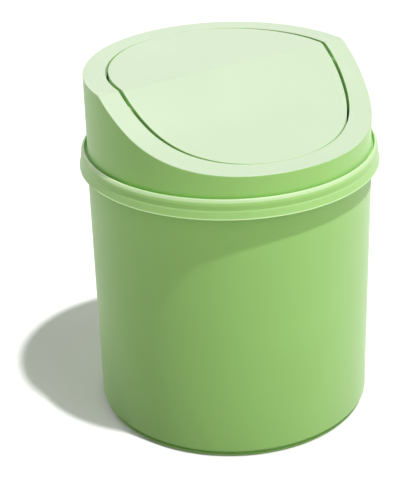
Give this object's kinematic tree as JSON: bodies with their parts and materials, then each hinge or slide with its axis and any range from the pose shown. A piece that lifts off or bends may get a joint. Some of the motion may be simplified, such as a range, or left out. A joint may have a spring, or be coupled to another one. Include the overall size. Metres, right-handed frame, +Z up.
{
  "type": "countertop trash can",
  "caption": "Small round countertop bin: a tapered bucket with a stepped rim, a drop-in lid frame with a scooped top, and a round self-closing swing flap.",
  "frame": {"origin": "centre of the foot ring, on the surface that the bin stands on", "axes": "+Z up, the low side of the lid faces -Y, the flap's pivot axis runs along X"},
  "size_m": [0.166, 0.166, 0.2],
  "materials": {
    "bucket_plastic": "satin moulded",
    "lid_plastic": "satin moulded",
    "flap_plastic": "satin moulded"
  },
  "bodies": {
    "bucket": {"bucket": "bucket_plastic"},
    "lid": {"lid_frame": "lid_plastic"},
    "flap": {"flap": "flap_plastic"}
  },
  "joints": [
    {"name": "lid_lift", "type": "slide", "parent": "bucket", "child": "lid", "axis": [0, 0, 1], "range_m": [0, 0.06]},
    {"name": "flap_swing", "type": "hinge", "parent": "lid", "child": "flap", "pos_m": [0, -0.0045, 0.189], "axis": [1, 0, 0], "range_deg": [0, 70]}
  ]
}
